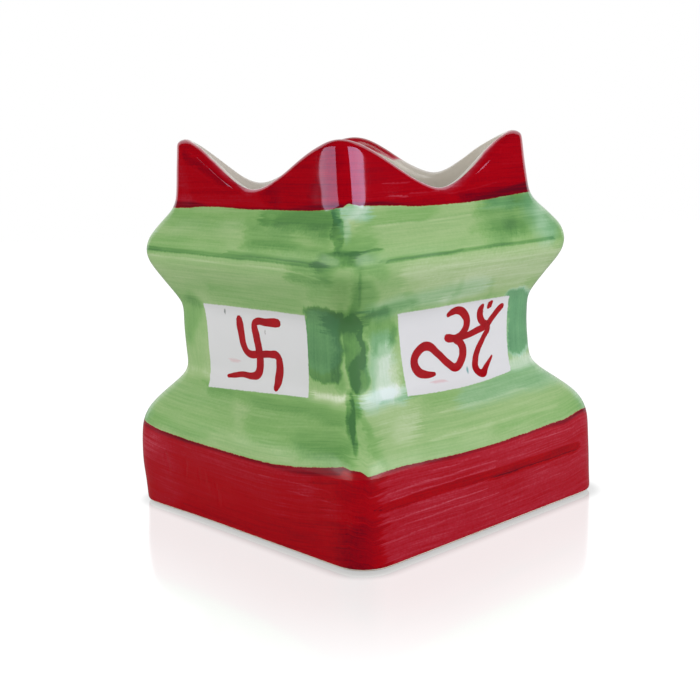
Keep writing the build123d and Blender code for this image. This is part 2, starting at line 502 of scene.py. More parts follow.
# %% [markdown]
# Every piece below starts as a copy with its own mesh, and most get a modifier that is applied at once.

# %% Copies and modifiers


def copy_of(piece, name):
    """A copy of the piece with its own mesh, selected and active."""
    deselect_all()
    twin = piece.copy()
    twin.data = piece.data.copy()
    twin.name = twin.data.name = name
    bpy.context.scene.collection.objects.link(twin)
    twin.select_set(True)
    bpy.context.view_layer.objects.active = twin
    return twin


def apply(piece, kind, **settings):
    """Adds a modifier to the piece with these settings and applies it."""
    deselect_all()
    piece.select_set(True)
    bpy.context.view_layer.objects.active = piece
    modifier = piece.modifiers.new(kind.lower(), kind)
    for name, value in settings.items():
        setattr(modifier, name, value)
    bpy.ops.object.modifier_apply(modifier=modifier.name)


form = copy_of(pot, "glazed_form")
clay = copy_of(pot, "bare_clay_body")
print("copied:", form.name, "and", clay.name)

# %% [markdown]
# A subdivision surface rounds the cage off, at two levels for what shows and at one for the clay
# that lies under the coats. Both follow the same limit surface, so they stay parallel. A `DISPLACE`
# modifier with soft clouds then gives them the faint unevenness that a hand-sponged pot has, which
# only shows where the gloss bends over it. It fades out towards the foot, so that the pot stands flat.

# %% Smooth, and a little uneven
SMOOTH_LEVELS = 2
UNEVENNESS = 0.55  # from the deepest hollow to the highest swelling, in mm
CLOUD_SIZE = 17.0
EVEN_FOOT = 2.0  # up to here the surface stays even, in mm
EVEN_FADE = 6.0  # the unevenness grows to its full strength over this height

clouds = bpy.data.textures.new("hand_sponged", "CLOUDS")
clouds.noise_scale = CLOUD_SIZE * MM
clouds.noise_depth = 1


def make_uneven(piece):
    """Lets soft clouds swell and sink the surface above the foot."""
    above = piece.vertex_groups.new(name="above_the_foot")
    heights = places(piece)[:, 2]
    for share in (0.25, 0.5, 0.75, 1.0):
        high_enough = np.nonzero(heights > EVEN_FOOT + EVEN_FADE * share)[0]
        above.add(high_enough.tolist(), share, "REPLACE")
    apply(
        piece,
        "DISPLACE",
        texture=clouds,
        texture_coords="LOCAL",
        strength=UNEVENNESS * MM,
        mid_level=0.5,
        vertex_group=above.name,
    )


for piece, level in ((form, SMOOTH_LEVELS), (clay, 1)):
    apply(piece, "SUBSURF", levels=level, render_levels=level)
    make_uneven(piece)
    print(piece.name, len(piece.data.polygons), "faces")

# %% [markdown]
# The clay is sunk by a coat's thickness with `transform.shrink_fatten` wherever a coat lies on it, so
# that clay and coat touch without cutting through each other.

# %% The clay under its coats
COAT = 0.3


def select_faces(piece, chosen):
    """Selects in edit mode the faces of the piece whose coat number is in chosen."""
    clear_selection(piece)
    numbers = np.zeros(len(piece.data.polygons), int)
    piece.data.attributes["coat"].data.foreach_get("value", numbers)
    piece.data.polygons.foreach_set("select", np.isin(numbers, list(chosen)))
    bpy.ops.object.mode_set(mode="EDIT")
    bpy.ops.mesh.select_mode(type="FACE")


select_faces(clay, range(1, len(COATS)))
bpy.ops.transform.shrink_fatten(value=-COAT * MM)
bpy.ops.object.mode_set(mode="OBJECT")
print("clay sunk by", COAT, "mm under its coats")

# %% [markdown]
# Each coat is cut out of a copy of the glazed form and thickened inwards with `SOLIDIFY`, so that it
# is a thin closed shell that ends where its colour ends. `shade_smooth_by_angle` keeps the shell's
# narrow edge crisp and its face smooth.

# %% The coats of glaze
CRISP_ANGLE = radians(40)  # edges that bend more than this stay crisp


def finish_piece(piece, node):
    """Smooths the piece, hangs it on the root body, and hides the CAD node that it is drawn in place of."""
    deselect_all()
    piece.select_set(True)
    bpy.context.view_layer.objects.active = piece
    bpy.ops.object.shade_smooth_by_angle(angle=CRISP_ANGLE)
    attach(piece, "root")
    if node:
        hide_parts(node)


coats = {}
for number, node in enumerate(COATS[1:], start=1):
    piece = copy_of(form, node.replace("_glaze", "_coat").replace("panel", "white_panel"))
    select_faces(piece, set(range(len(COATS))) - {number})
    bpy.ops.mesh.delete(type="FACE")
    bpy.ops.object.mode_set(mode="OBJECT")
    apply(piece, "SOLIDIFY", thickness=COAT * MM, offset=-1, use_even_offset=True)
    finish_piece(piece, node)
    coats[node] = piece
    print(piece.name, len(piece.data.polygons), "faces")
finish_piece(clay, "clay_body")

# %% [markdown]
# The four signs are brushed on the white panels in red: a swastik on the left and the right face and
# an Om on the front and the back, both old signs of good luck and prayer on such altars. Each is a
# list of strokes, and each stroke a list of places with the width that the brush had there.

# %% The strokes of the signs
SWASTIK = [  # strokes of (way, height, width) in mm, on the left face
    [(-52.8, 69.0, 2.6), (-52.4, 67.0, 3.2), (-51.6, 64.0, 2.9), (-50.4, 59.8, 2.6), (-48.6, 57.9, 2.3),
     (-43.0, 58.0, 2.0), (-37.0, 58.7, 2.0), (-33.2, 58.3, 2.5), (-32.6, 55.8, 3.0), (-34.3, 50.4, 3.0),
     (-35.6, 47.6, 2.0)],
    [(-32.0, 69.4, 2.2), (-34.0, 69.3, 2.6), (-38.5, 69.0, 2.2), (-43.8, 68.6, 2.0), (-44.6, 67.6, 2.6),
     (-43.7, 64.0, 3.0), (-42.7, 59.3, 3.0), (-42.9, 54.6, 3.0), (-44.7, 51.2, 2.5), (-47.5, 50.2, 2.0),
     (-52.7, 50.1, 1.7), (-57.5, 49.2, 1.5), (-61.2, 48.5, 0.9)],
]
OM = [  # on the front face
    [(43.9, 69.1, 1.3), (45.8, 69.9, 2.0), (48.6, 70.2, 2.2), (52.0, 68.5, 2.6), (53.4, 65.8, 2.7),
     (51.5, 62.4, 2.4), (48.0, 61.2, 1.9), (44.6, 61.5, 2.4), (43.2, 61.9, 2.0)],
    [(47.4, 60.6, 1.8), (50.2, 59.0, 2.5), (51.2, 56.4, 3.0), (50.0, 53.4, 2.8), (47.0, 51.5, 2.4),
     (43.6, 53.3, 2.3), (39.0, 57.3, 2.2), (34.5, 60.4, 2.5), (30.6, 59.6, 2.6), (28.1, 56.6, 2.8),
     (29.2, 53.2, 2.8), (32.4, 51.5, 2.2), (36.8, 51.0, 1.0)],
    [(50.0, 60.9, 1.6), (54.0, 61.3, 1.8), (58.5, 62.2, 2.0), (63.0, 63.2, 2.0), (66.8, 65.9, 1.9),
     (70.0, 68.3, 2.0), (71.3, 69.0, 1.6)],
    [(61.0, 70.2, 1.6), (60.1, 68.6, 2.6), (60.1, 66.4, 2.6), (61.6, 64.4, 2.2), (64.0, 63.0, 1.8),
     (61.6, 59.4, 1.8), (58.6, 55.8, 2.1), (56.9, 52.4, 2.4), (56.6, 49.4, 2.6), (58.6, 47.7, 2.2),
     (61.8, 49.6, 1.6), (65.2, 52.6, 0.6)],
    [(63.9, 69.2, 1.2), (64.7, 70.1, 2.2), (65.5, 71.0, 1.2)],
]
print("strokes in the swastik:", len(SWASTIK), "and in the Om:", len(OM))

# %% [markdown]
# A soft brush makes a stroke that swells and thins, so each stroke is a Bezier curve whose radius
# changes along its way. Its bevel gives it a width. Both ends run out a little, and more narrowly.

# %% The strokes as curves
RADIUS_OF_WIDTH = 0.6  # the curve's radius as a share of the stroke's width
TIP_LENGTH = 0.35  # how far an end runs on, and how wide it still is there, as shares of the width
TIP_WIDTH = 0.45


def brush_curve(name, strokes):
    """The strokes as curves in their own plane, with x as the way and y as the height, in metres."""
    curve = bpy.data.curves.new(name, "CURVE")
    curve.dimensions = "3D"
    curve.bevel_depth = 1.0 * MM
    curve.bevel_resolution = 2
    curve.resolution_u = 10
    curve.use_fill_caps = True
    for stroke in strokes:
        spline = curve.splines.new("BEZIER")
        spline.bezier_points.add(len(stroke) + 1)
        first, last = Vector(stroke[0][:2]), Vector(stroke[-1][:2])
        start = first + (first - Vector(stroke[1][:2])).normalized() * stroke[0][2] * TIP_LENGTH
        end = last + (last - Vector(stroke[-2][:2])).normalized() * stroke[-1][2] * TIP_LENGTH
        knots = [(*start, stroke[0][2] * TIP_WIDTH)] + stroke + [(*end, stroke[-1][2] * TIP_WIDTH)]
        for point, (way, height, width) in zip(spline.bezier_points, knots):
            point.co = (way * MM, height * MM, 0)
            point.radius = width * RADIUS_OF_WIDTH
            point.handle_left_type = point.handle_right_type = "AUTO"
    return curve


print("an end of a stroke runs on by", TIP_LENGTH, "of its width")

# %% [markdown]
# Each sign is made flat, stood up before its face and bent as the pot was. Projected on the form by
# `SHRINKWRAP`, it follows the hand-made surface, and `SOLIDIFY` gives it the thickness of a layer of
# colour.

# %% The signs on their panels
SIGN_LIFT = 0.03  # how far the colour stands on the glaze, in mm
STAND_OFF = 2  # how far before its face a sign stands until it is projected, in mm
PROJECT_REACH = 6
SIGNS = [  # (name, strokes, turn from the front corner's pair of faces)
    ("swastik_left", SWASTIK, 0.0),
    ("om_front", OM, 0.0),
    ("swastik_right", SWASTIK, pi),
    ("om_back", OM, pi),
]

signs = []
for name, strokes, turn in SIGNS:
    deselect_all()
    sign = bpy.data.objects.new("sign_" + name, brush_curve(name, strokes))
    bpy.context.scene.collection.objects.link(sign)
    sign.select_set(True)
    bpy.context.view_layer.objects.active = sign
    bpy.ops.object.convert(target="MESH")
    bpy.ops.object.mode_set(mode="EDIT")
    bpy.ops.mesh.select_all(action="SELECT")
    bpy.ops.mesh.bisect(plane_co=(0, 0, 0), plane_no=(0, 0, 1), clear_inner=True)
    bpy.ops.mesh.select_all(action="SELECT")
    bpy.ops.transform.resize(value=(1, 1, 0), center_override=(0, 0, 0))
    bpy.ops.object.mode_set(mode="OBJECT")
    on_side = strokes is SWASTIK
    to_face = Matrix.Rotation(-pi / 2 if on_side else 0, 4, "Z") @ Matrix.Rotation(pi / 2, 4, "X")
    stands = (-WAIST - STAND_OFF, -WAIST, 0) if on_side else (-WAIST, -WAIST - STAND_OFF, 0)
    to_place = Matrix.Translation(Vector(stands) * MM)
    sign.matrix_world = Matrix.Rotation(turn, 4, "Z") @ to_place @ to_face
    bpy.ops.object.transform_apply()
    put_back(sign, bend(places(sign)))
    apply(
        sign,
        "SHRINKWRAP",
        target=form,
        wrap_method="PROJECT",
        wrap_mode="ABOVE_SURFACE",
        offset=SIGN_LIFT * MM,
        use_project_x=on_side,
        use_project_y=not on_side,
        use_negative_direction=True,
        project_limit=PROJECT_REACH * MM,
    )
    apply(sign, "SOLIDIFY", thickness=2 * SIGN_LIFT * MM, offset=-1)
    finish_piece(sign, None)
    signs.append(sign)
    print(sign.name, len(sign.data.polygons), "faces", [round(v / MM, 1) for v in sign.dimensions])

bpy.data.objects.remove(form)
bpy.data.objects.remove(pot)

# %% [markdown]
# All colours are mixed in shader nodes. To keep that readable, one small class wraps a socket, and
# plain Python operators on it add Math nodes. Any other node comes from the `node` method, which
# takes the node's type, its settings, and the values or links of its inputs.

# %% Materials as expressions


class Socket:
    """An output of a shader node that Python expressions can use."""

    def __init__(self, tree, out=None):
        self.tree = tree
        self.out = out

    def node(self, kind, settings=None, inputs=None, output=0):
        """Adds a node of this kind to the material and returns one of its outputs."""
        made = self.tree.nodes.new("ShaderNode" + kind)
        for name, value in (settings or {}).items():
            if name == "stops":
                for i, (position, shade) in enumerate(value):
                    stop = made.color_ramp.elements[i] if i < 2 else made.color_ramp.elements.new(position)
                    stop.position = position
                    stop.color = shade if isinstance(shade, tuple) else (shade, shade, shade, 1)
            else:
                setattr(made, name, value)
        for name, value in (inputs or {}).items():
            if isinstance(value, Socket):
                self.tree.links.new(value.out, made.inputs[name])
            else:
                made.inputs[name].default_value = value
        return Socket(self.tree, made.outputs[output])

    def maths(self, operation, *values):
        """A Math node on these values."""
        return self.node("Math", {"operation": operation}, dict(enumerate(values)))

    def __add__(self, other):
        return self.maths("ADD", self, other)

    def __radd__(self, other):
        return self.maths("ADD", other, self)

    def __sub__(self, other):
        return self.maths("SUBTRACT", self, other)

    def __rsub__(self, other):
        return self.maths("SUBTRACT", other, self)

    def __mul__(self, other):
        return self.maths("MULTIPLY", self, other)

    def __rmul__(self, other):
        return self.maths("MULTIPLY", other, self)

    def __abs__(self):
        return self.maths("ABSOLUTE", self)

    def larger(self, other):
        """The larger of the two values."""
        return self.maths("MAXIMUM", self, other)

    def ease(self, start, end, most=1.0):
        """Goes smoothly from 0 at start to most at end, and stays there. The start may be the larger."""
        inputs = {"Value": self, "From Min": start, "From Max": end, "To Max": most}
        return self.node("MapRange", {"interpolation_type": "SMOOTHSTEP"}, inputs)

    def ramp(self, stops):
        """The colour or grey at this place between the stops, each a (position, shade)."""
        return self.node("ValToRGB", {"stops": stops}, {0: self})

    def joined(self, x, y, z=0.0):
        """A vector of these parts."""
        return self.node("CombineXYZ", inputs={0: x, 1: y, 2: z})

    def parts(self):
        """The three parts of this vector."""
        apart = self.node("SeparateXYZ", inputs={0: self}).out.node
        return [Socket(self.tree, out) for out in apart.outputs]

    def length(self):
        """The length of this vector."""
        return self.node("VectorMath", {"operation": "LENGTH"}, {0: self}, output=1)

    def dot(self, factors):
        """The sum of this vector's parts, each times its factor."""
        return self.node("VectorMath", {"operation": "DOT_PRODUCT"}, {0: self, 1: factors}, output=1)

    def stretched(self, across_x, across_y, across_z):
        """The place with each direction scaled by itself, which stretches a pattern the other way."""
        factors = (across_x, across_y, across_z)
        return self.node("VectorMath", {"operation": "MULTIPLY"}, {0: self, 1: factors})

    def noise(self, size, detail=2.0, roughness=0.5):
        """Soft noise at this place, from 0 to 1 about 0.5, with features of this size in mm."""
        inputs = {"Vector": self, "Scale": 1 / size, "Detail": detail, "Roughness": roughness}
        return self.node("TexNoise", {"noise_dimensions": "3D"}, inputs)

    def mixed(self, first, second):
        """The first colour where this mask is 0, and the second where it is 1."""
        return self.node("Mix", {"data_type": "RGBA"}, {0: self, 6: first, 7: second}, output=2)

    def blended(self, first, second):
        """The first number where this mask is 0, and the second where it is 1."""
        return self.node("Mix", {}, {0: self, 2: first, 3: second})


print("methods of an expression:", [name for name in vars(Socket) if not name.startswith("_")])

# %% [markdown]
# A material starts empty but for its Principled shader, whose inputs are then fed with plain values or
# with expressions. Relief that is too fine for the mesh goes in as a bump.

# %% Starting and feeding a material


def srgb(red, green, blue):
    """A colour given on the usual scale of 0 to 255, as the linear values that shaders use."""
    parts = (value / 255 for value in (red, green, blue))
    return tuple(p / 12.92 if p <= 0.04045 else ((p + 0.055) / 1.055) ** 2.4 for p in parts) + (1.0,)


def new_material(name):
    """An empty material, its Principled shader, and a socket to start expressions from."""
    material = bpy.data.materials.new(name)
    material.use_nodes = True
    tree = material.node_tree
    tree.nodes.clear()
    shader = tree.nodes.new("ShaderNodeBsdfPrincipled")
    output = tree.nodes.new("ShaderNodeOutputMaterial")
    tree.links.new(shader.outputs[0], output.inputs[0])
    return material, shader, Socket(tree)


def feed(shader, name, value):
    """Links or sets an input of the shader."""
    if isinstance(value, Socket):
        value.tree.links.new(value.out, shader.inputs[name])
    else:
        shader.inputs[name].default_value = value


def feed_bump(shader, height, strength, depth):
    """Lets this height, up to the depth in mm, show as relief."""
    inputs = {"Height": height, "Strength": strength, "Distance": depth * MM}
    feed(shader, "Normal", height.node("Bump", inputs=inputs))


def place_in_mm(start):
    """The object's own coordinates in mm."""
    return start.node("TexCoord", output=3).stretched(1 / MM, 1 / MM, 1 / MM)


print("a pale green on the usual scale is", [round(v, 3) for v in srgb(185, 210, 150)])

# %% [markdown]
# The painter's marks are laid out on the straight pot, as it came from the mould, so they lean with
# the clay. A point's place in that layout is its way round from the front corner, negative to the
# left, and its height. The two far faces repeat the near ones, turned by half a turn. The two pairs
# meet in brush ends that run a few millimetres past the side corners, each to its own length.

# %% Where a point lies in the painter's layout
BRUSH_OVERRUN = 16.0  # between the shortest and the longest brush end at a side corner, in mm


def layout(start):
    """The place in the mould in mm, the way round from the nearer painted corner, the height, and
    1 on the two far faces."""
    place = start.node("Attribute", {"attribute_name": "in_mould"}, output=1)
    x, y, z = place.parts()
    brush_ends = (place.stretched(0.1, 0.1, 1).noise(1.4, detail=3, roughness=0.6) - 0.5) * BRUSH_OVERRUN
    far = brush_ends.maths("GREATER_THAN", x + y + brush_ends, 0.0)
    return place, (x - y) * (1 - 2 * far), z, far


def between(value, low, high, soft):
    """1 between low and high, fading out over the soft width at both ends."""
    middle = (low + high) / 2
    half = (high - low) / 2
    return abs(value - middle).ease(half + soft / 2, half - soft / 2)


def follow(value, points, base=0.0):
    """The height of a line at this way round. Its (way, height) points are at most 10 mm over the base."""
    start, end = points[0][0], points[-1][0]
    stops = [((way - start) / (end - start), (height - base) / 10) for way, height in points]
    share = (value - start) * (1 / (end - start))
    return share.ramp(stops) * 10 + base


print("painted lines reach", BRUSH_OVERRUN / 2, "mm past a side corner at most")

# %% [markdown]
# The colours meet at borders that were drawn by hand along the mouldings: they climb where the
# brush was lifted at the corner, and the red was laid a little over the green, which gives a dark
# line of its own.

# %% The borders that the brush drew
PLINTH_LINE_BASE = 25  # each line lies less than 10 mm above its base
CROWN_LINE_BASE = 100
PLINTH_LINE = [
    (-112, 30.2), (-107, 29.1), (-100, 28.3), (-85, 27.5), (-62, 27.2), (-48, 27.1), (-38, 27.6),
    (-28, 28.6), (-20, 29.9), (-10, 31.5), (-6, 32.2), (-3, 31.3), (1.5, 30.9), (4, 29.3), (11, 30.0),
    (20, 29.9), (30, 29.3), (45, 28.4), (62, 28.1), (78, 28.4), (90, 29.0), (97, 29.0), (104, 30.1),
    (108, 30.6), (112, 30.2),
]
CROWN_LINE = [
    (-92, 105.2), (-86, 104.5), (-80, 104.7), (-70, 105.3), (-60, 105.5), (-45, 105.0), (-30, 105.2),
    (-15, 105.4), (-7, 105.9), (0, 106.6), (2, 107.6), (7, 106.8), (13, 106.4), (20, 106.0),
    (30, 105.1), (42, 104.8), (55, 104.8), (65, 105.2), (75, 105.8), (86, 106.3), (92, 105.2),
]
PLINTH_OVERLAP = [  # how wide the red lies over the green
    (-112, 1.3), (-90, 1.2), (-62, 0.7), (-42, 0.8), (-34, 1.6), (-20, 2.4), (-8, 2.2), (-5, 0.6),
    (6, 0.1), (12, 0.5), (40, 0.9), (60, 0.4), (85, 0.6), (98, 1.3), (112, 1.0),
]
CROWN_OVERLAP = [
    (-92, 2.4), (-76, 1.9), (-66, 0.3), (-26, 0.3), (-19, 1.1), (-3, 1.7), (1, 0.4), (14, 1.3),
    (22, 0.8), (36, 0.3), (54, 0.4), (64, 1.6), (84, 3.4), (92, 3.6),
]
OVERLAP_BROWN = (92, 8, 26)
BORDER_BLUR = 0.12  # half the width over which a border turns from one colour to the other, in mm


def overlap_at(way, below_crown, above_plinth):
    """How much brown shows at both borders, from how far inside each red a point lies."""
    crown = (follow(way, CROWN_OVERLAP) - below_crown).ease(-0.7, 0.5) * below_crown.ease(0.0, 0.2)
    plinth = (follow(way, PLINTH_OVERLAP) - above_plinth).ease(-0.8, 0.6)
    return crown.larger(plinth * above_plinth.ease(0.0, 0.2))


print(len(PLINTH_LINE) + len(CROWN_LINE), "points along the two borders")

# %% [markdown]
# Each white panel was left free between four strokes. Its edges are lines that slope or bow a little.

# %% The panels that the brush left open
PANEL_EDGES = [  # (place, slope, bow, middle) of each panel's left, right, lower and upper edge
    [(-70.3, 0.0, -0.0104, 59), (-18.2, 0.0, -0.0093, 62), (45.6, 0.058, 0.0, -46), (73.0, 0.015, 0.0, -46)],
    [(22.3, -0.1, 0.0, 60), (73.6, 0.0, 0.0014, 48), (45.2, 0.0, 0.0019, 50), (72.4, -0.013, 0.0, 48)],
]
EDGE_BLUR = 0.15
UPPER_EDGE_BLUR = 0.25


def bowed(value, place, slope, bow, middle):
    """A line that crosses the middle at this place, with a slope and a bow."""
    apart = value - middle
    line = place + apart * slope
    return line + apart * apart * bow if bow else line


def panel_open(way, z, edges):
    """1 inside the four edges of one panel."""
    left, right, low, high = edges
    inside = (way - bowed(z, *left)).ease(-EDGE_BLUR, EDGE_BLUR)
    inside = inside * (bowed(z, *right) - way).ease(-EDGE_BLUR, EDGE_BLUR)
    inside = inside * (z - bowed(way, *low)).ease(-EDGE_BLUR, EDGE_BLUR)
    return inside * (bowed(way, *high) - z).ease(-UPPER_EDGE_BLUR, UPPER_EDGE_BLUR)


print(len(PANEL_EDGES), "panels on each pair of faces")

# %% [markdown]
# The paint is watery. Where the brush carried much pigment the green is deep, and where it ran dry it
# is pale and yellowish. So the green depends on one number, the load of pigment, and so does the red.
# Every stroke, from a start to an end, adds to that number or takes some of it away. Some strokes
# are painted light rather than paint: on the plinth, pale ones paint the milky reflection of the white
# table and thin highlights along its ripples, and deeper ones the darker corner and the streak where
# that reflection breaks. On the crown, thin pale lines paint the highlight of the lip. Along the foot
# of the waist at the front corner, pale strokes paint the lamps' glint, where the paint is also thin.
# A further set of strokes turns the green bluish and paler; right of the front corner, under the crown
# and at the top of the right cornice these are painted glints and sheen. The last is no paint at
# all, but small dents from fingers and tools, which use the same form.

# %% The strokes of the brush
GREENS = [
    (0.0, srgb(226, 232, 214)), (0.16, srgb(192, 211, 166)), (0.34, srgb(164, 194, 134)),
    (0.54, srgb(136, 179, 108)), (0.74, srgb(106, 156, 86)), (1.0, srgb(72, 119, 68)),
]
TEAL_AND_SHEEN_TONES = [
    (0.0, srgb(222, 236, 232)), (0.2, srgb(196, 222, 206)), (0.4, srgb(158, 202, 172)),
    (0.7, srgb(112, 168, 124)), (1.0, srgb(74, 130, 92)),
]
REDS = [
    (0.0, srgb(216, 130, 142)), (0.18, srgb(186, 66, 80)), (0.34, srgb(172, 33, 49)),
    (0.48, srgb(165, 12, 28)), (0.62, srgb(167, 0, 14)), (0.8, srgb(142, 0, 18)), (1.0, srgb(94, 0, 22)),
]
GREEN_AND_GLINT_STROKES = [  # (start, end, width, load, softness): places as (way, height), all in mm
    # the cornice above its nose, left face
    ((-112, 102), (-40, 102.5), 6, 0.11, 4),
    ((-100, 95), (-60, 96), 9, 0.06, 6),
    ((-42, 97.5), (-10, 97), 9, 0.18, 6),
    ((-30, 99), (-8, 99.6), 4, 0.08, 3),
    ((-34, 103.6), (-6, 103.8), 5.2, 0.28, 2.6),
    ((-26, 102.4), (-7, 102.6), 5.6, 0.16, 3),
    ((-44, 95), (-22, 94.6), 3, 0.08, 2.4),
    ((-19, 97.6), (-6, 96.6), 3, -0.08, 1.8),
    ((-3.4, 106), (-3.0, 98), 4.2, 0.30, 1.4),
    ((-5, 99), (2, 99.5), 5, 0.12, 3),
    # the line along the nose, the dark knot at the corner, and what runs down from it
    ((-114, 91.2), (-10, 90.5), 1.5, 0.27, 0.9),
    ((-112, 90.7), (-14, 90.1), 0.7, 0.08, 0.5),
    ((-56, 92.0), (-12, 91.3), 1.2, 0.18, 0.8),
    ((-108, 90.6), (-96, 90.6), 2.4, 0.10, 1.4),
    ((-112, 89.0), (-14, 87.8), 0.8, -0.10, 0.7),
    ((-26, 88.2), (-12, 86.4), 0.6, -0.12, 0.5),
    ((-9, 91), (1, 92.6), 5, 0.24, 2.0),
    ((-8, 87), (1, 87), 5.5, 0.04, 2.6),
    ((-22, 87.2), (-9, 87.4), 5.5, 0.26, 3),
    ((-13, 81), (-2, 82), 9, 0.14, 5),
    ((-5, 93.7), (3, 93.9), 1.2, 0.12, 0.8),
    ((4.8, 88), (2.8, 72), 4.4, 0.10, 2.6),
    ((5.8, 87), (5.2, 78), 1.2, 0.10, 0.8),
    ((4, 75), (8, 82), 9, 0.24, 4),
    ((18, 90.7), (97, 90.9), 1.2, 0.27, 0.7),
    ((14, 91.2), (50, 90.9), 1.0, 0.14, 0.7),
    ((10, 94.3), (13.5, 94.5), 0.8, 0.26, 0.5),
    ((6, 91), (13, 89), 6, 0.16, 4),
    # the cornice above its nose, right face
    ((1, 94), (10, 96), 7, 0.16, 4),
    # this pale stroke paints the glint of a lamp under the crown
    ((2, 101), (6, 104), 5, -0.14, 3),
    ((8, 102), (34, 103.4), 4.4, 0.12, 2.2),
    ((12, 100.4), (56, 101), 0.7, -0.10, 0.6),
    ((-106, 93), (100, 93), 6, 0.05, 5),  # this one runs round both faces
    ((16, 84), (26, 83), 6, 0.08, 4),  # and this one lies below the nose
    ((64, 104), (70, 95), 12, 0.22, 8),
    ((80, 104), (80, 97), 15, 0.26, 8),
    ((66, 105), (88, 104), 4, 0.14, 3),
    ((98, 102), (98, 92), 10, 0.14, 6),
    ((58, 96.8), (80, 96.4), 3.4, 0.10, 2),
    # the cornice's underside
    ((28, 84), (98, 84), 10, -0.14, 6),
    ((50, 80), (92, 81), 6, -0.06, 4),
    ((-66, 78), (-22, 77), 8, 0.10, 6),
    ((-88, 74.6), (-76, 73), 4, 0.14, 2.5),
    ((10, 74.6), (23, 75.4), 3.4, 0.22, 2.2),
    ((27, 78), (29, 73.6), 4, 0.08, 2),
    ((44, 75.4), (80, 76), 3, -0.12, 2.4),
    ((49, 79), (46.8, 75), 3, 0.10, 2.4),
    ((65, 78), (63.8, 74), 2.4, 0.08, 2.2),
    # the waist, at the front corner; the pale strokes along the waist's foot and right of the corner
    # paint the lamps' glint there, where the paint is also thin
    ((-11.4, 57), (-11.4, 73.5), 17.5, 0.42, 2.4),
    ((-4, 74), (-4, 55), 5, 0.16, 3),
    ((-12, 75), (-3, 75), 3, 0.12, 3),
    ((-7, 72), (3, 73), 8, 0.22, 3),
    ((-2.4, 49.3), (-17, 48.4), 2.2, -0.26, 1.6),
    ((-4, 53), (-17, 53), 3, 0.10, 3),
    ((1.6, 71), (3.8, 54), 8.4, 0.40, 1.2),
    ((3.0, 58), (1.0, 47.5), 4.0, 0.26, 1.6),
    ((5.6, 67), (6.2, 60), 2.6, 0.34, 1.4),
    ((16.5, 60), (16, 50), 9, -0.28, 4),
    ((9, 48.4), (19, 48.6), 4.0, -0.16, 3),
    ((12, 72), (15, 64), 12, 0.24, 3),
    ((19.4, 66), (19.4, 60), 3.4, 0.14, 1.6),
    ((-1.2, 47.5), (-1.6, 42), 3.8, 0.34, 1.1),
    ((-1.0, 42), (-0.5, 37.4), 2.4, 0.30, 1.0),
    ((2, 45.5), (4, 42), 3, 0.14, 1.6),
    # the waist, at the two side corners
    ((-84, 63), (-78, 71), 13, 0.20, 6),
    ((-72, 50), (-71.5, 58), 4, -0.08, 2),
    ((-88, 47.8), (-74, 47.6), 3, -0.10, 2.4),
    ((80, 55), (79, 70.5), 12, 0.34, 1.8),
    ((74.6, 54), (75, 59), 3, 0.08, 2),
    ((75, 48.4), (90, 48.4), 3.6, -0.20, 1.8),
    # the shoulder
    ((-70, 44.8), (-4, 43.6), 4.6, 0.18, 2.6),
    ((-48, 38.5), (-5, 37.5), 10, 0.16, 7),
    ((-106, 38.5), (-62, 38), 15, 0.08, 6),
    ((-24, 33.6), (-5, 34.4), 7, 0.16, 5),
    ((-108, 31), (-76, 30), 3.6, 0.12, 3),
    ((-66, 32.4), (-34, 31.2), 2.0, -0.06, 2),
    ((6, 45), (24, 41), 8, -0.09, 5),
    ((3, 40), (12, 39), 6, 0.10, 4),
    ((12, 38.5), (24, 38.5), 5, -0.10, 4),
    ((7, 36.5), (10, 33.5), 3, 0.12, 2),
    ((14, 46.4), (28, 46.2), 1.0, 0.16, 0.7),
    ((34, 44.2), (96, 44.2), 5.4, 0.10, 3),
    ((64, 32), (110, 32.6), 5, 0.12, 4),
    ((32, 34.4), (94, 34.0), 1.0, -0.10, 0.8),
    ((40, 40.4), (80, 40.8), 0.7, -0.08, 0.6),
]
RED_AND_SHEEN_STROKES = [
    # the plinth: the pale strokes paint the milky reflection of the white table and the thin highlights
    # along its ripples, and the deeper ones at the corner and along the right face paint the darker
    # corner and the streak where that reflection breaks
    ((12, 15), (116, 15), 34, -0.27, 8),
    ((10, 19.2), (103, 18.2), 2.8, 0.32, 0.5),
    ((58, 17.1), (102, 16.5), 1.2, 0.30, 0.5),
    ((12, 20.9), (60, 20.4), 0.5, -0.14, 0.4),
    ((-5, 0), (-3, 14), 14, 0.18, 12),
    ((-112, 24), (-24, 24), 12, -0.18, 8),
    ((-108, 22), (-98, 4), 20, -0.16, 12),
    ((-96, 14), (-40, 14), 8, -0.08, 6),
    ((-6, 26), (3, 27), 6, 0.06, 2),
    ((-11, 18), (-5, 17), 6, -0.16, 4),
    ((4, 23.2), (60, 22.6), 0.6, -0.14, 0.5),
    ((8, 14.6), (54, 14.2), 0.4, -0.14, 0.4),
    ((14, 12), (60, 11.6), 0.4, -0.12, 0.4),
    ((30, 25.6), (100, 25.2), 0.5, -0.12, 0.5),
    ((6, 8.4), (70, 8.8), 0.5, -0.10, 0.5),
    ((-44, 22.6), (-12, 24), 0.5, -0.14, 0.5),
    ((-34, 20), (-8, 20.8), 0.4, -0.14, 0.4),
    # the crown
    ((-12, 106), (-4, 122), 9, 0.08, 4),
    ((-84, 122), (-79, 108), 7, -0.14, 5),
    ((-84, 107), (-36, 107), 4, -0.14, 3),
    ((-34, 110), (-32, 107), 7, 0.08, 3),
    ((-80, 123), (-50, 111.4), 3, 0.14, 2),
    ((54, 106.5), (84, 108), 3.4, 0.20, 2.2),
    # the thin pale lines from here on paint highlights near the lip's rounding
    ((18, 112.6), (27, 112.4), 0.5, -0.26, 0.4),
    ((20, 108.8), (23, 108.6), 0.6, -0.3, 0.4),
    ((29, 109.2), (41, 109), 0.4, -0.24, 0.4),
    ((44, 107.6), (66, 110), 0.4, -0.2, 0.4),
    ((-76, 119), (-56, 110), 0.4, -0.08, 0.4),
]
